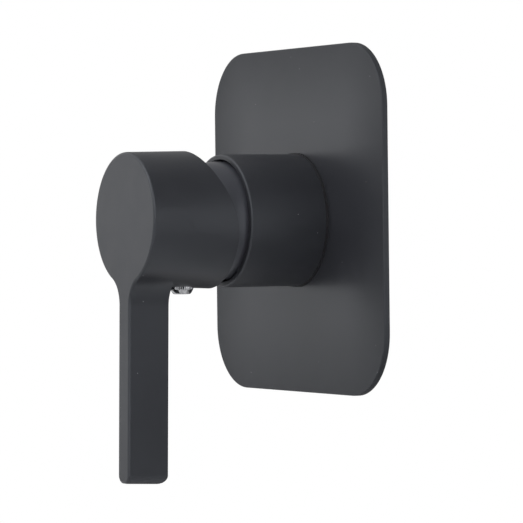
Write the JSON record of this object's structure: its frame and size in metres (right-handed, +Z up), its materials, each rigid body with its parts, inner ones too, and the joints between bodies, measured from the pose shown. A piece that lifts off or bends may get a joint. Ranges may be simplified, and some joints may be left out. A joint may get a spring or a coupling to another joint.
{
  "type": "shower mixer",
  "caption": "Wall-mounted single-lever shower mixer: soft-cornered square plate, round sleeve, cut-back cup handle with a straight lever, ceramic cartridge and in-wall valve body.",
  "frame": {"origin": "on the spindle axis, in the finished wall's surface (the back face of the plate's gasket)", "axes": "+X to the right seen from the room, +Y into the wall along the spindle axis, +Z up"},
  "size_m": [0.12, 0.1135, 0.1496],
  "materials": {
    "satin_black": "satin",
    "black_rubber": "matte",
    "grey_foam": "matte",
    "cast_brass": "satin",
    "chrome_steel": "polished",
    "pin_steel": "satin",
    "white_plastic": "satin",
    "blue_plastic": "satin",
    "disc_ceramic": "satin"
  },
  "bodies": {
    "fixed": {"base_seals": "black_rubber", "cartridge_base": "blue_plastic", "cartridge_housing": "white_plastic", "cartridge_nut": "cast_brass", "cold_union": "cast_brass", "disc_seals": "black_rubber", "dome_cap": "satin_black", "fixed_disc": "disc_ceramic", "hot_union": "cast_brass", "outlet_plug": "cast_brass", "outlet_union": "cast_brass", "plate_gasket": "grey_foam", "plug_washer": "black_rubber", "sleeve": "satin_black", "sleeve_base_ring": "black_rubber", "sleeve_o_rings": "black_rubber", "union_washers": "black_rubber", "valve_body": "cast_brass", "wall_plate": "satin_black"},
    "turning": {"rotor": "white_plastic", "pivot_pin": "pin_steel"},
    "lever": {"handle": "satin_black", "handle_screw": "chrome_steel", "stem": "cast_brass"},
    "disc_slider": {"disc_driver": "blue_plastic", "moving_disc": "disc_ceramic"}
  },
  "joints": [
    {"name": "temperature_turn", "type": "hinge", "parent": "fixed", "child": "turning", "pos_m": [0, -0.0343, 0], "axis": [0, -1, 0], "range_deg": [-45, 45]},
    {"name": "lever_lift", "type": "hinge", "parent": "turning", "child": "lever", "pos_m": [0, -0.0343, 0], "axis": [-1, 0, 0], "range_deg": [0, 25]},
    {"name": "disc_slide", "type": "slide", "parent": "turning", "child": "disc_slider", "axis": [0, 0, -1], "range_m": [0, 0.0041]}
  ],
  "couplings": [
    {"joint": "disc_slide", "follows": "lever_lift", "m_per_rad": 0.0092}
  ]
}
